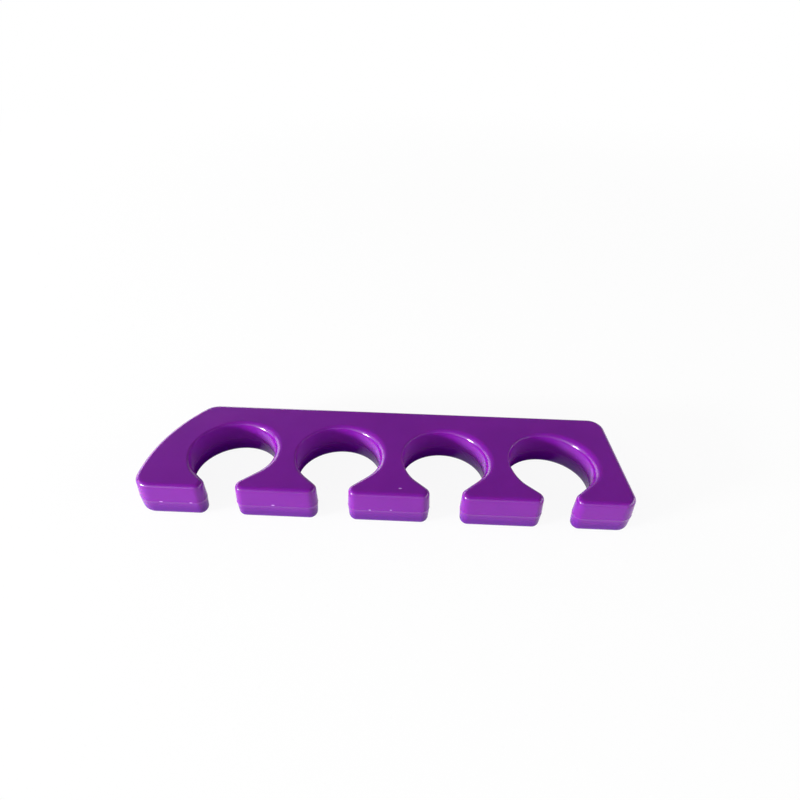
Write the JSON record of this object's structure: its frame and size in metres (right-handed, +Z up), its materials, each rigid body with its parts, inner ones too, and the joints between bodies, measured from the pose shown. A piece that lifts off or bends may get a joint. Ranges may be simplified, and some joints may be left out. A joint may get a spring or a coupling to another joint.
{
  "type": "toe separator",
  "caption": "Flat moulded silicone bar with open round bays between its arms, one for each gap between neighbouring toes, to hold the toes apart.",
  "frame": {"origin": "middle of the bar's length and depth, on the underside", "axes": "+X along the bar from its long slanted end to its short slanted end, +Y from the arms' tips to the spine, +Z up through the thickness"},
  "size_m": [0.1002, 0.0272, 0.0082],
  "materials": {
    "silicone": "glossy moulded silicone"
  },
  "bodies": {
    "root": {"toe_separator": "silicone"}
  },
  "joints": []
}
